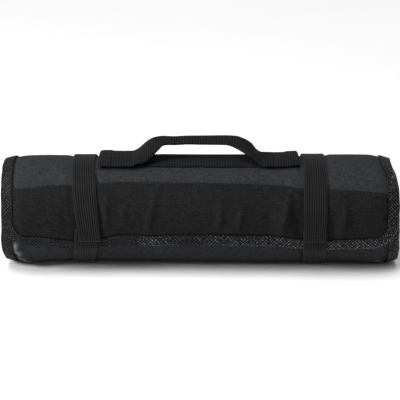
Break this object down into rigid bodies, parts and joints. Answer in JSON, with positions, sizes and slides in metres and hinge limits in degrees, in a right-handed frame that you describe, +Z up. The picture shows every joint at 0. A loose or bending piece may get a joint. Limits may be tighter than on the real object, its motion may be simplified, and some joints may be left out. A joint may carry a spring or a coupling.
{
  "type": "tool roll",
  "caption": "Fabric tool roll, rolled up and held shut by webbing straps, with a bound edge, a panel on its front flap and a carrying handle on top.",
  "frame": {"origin": "under the middle of the roll, on the surface that it lies on", "axes": "+X along the roll, -Y towards the front with the flap's edge, +Z up through the handle"},
  "size_m": [0.355, 0.1048, 0.1166],
  "materials": {
    "grey_cloth": "matt coated Oxford weave",
    "black_cloth": "matt Oxford weave",
    "black_tape": "twill binding tape",
    "black_webbing": "ribbed webbing"
  },
  "bodies": {
    "root": {"cloth": "grey_cloth", "front_panel": "black_cloth", "binding": "black_tape", "strap_left": "black_webbing", "strap_right": "black_webbing", "handle_base": "black_webbing", "handle": "black_webbing"}
  },
  "joints": []
}
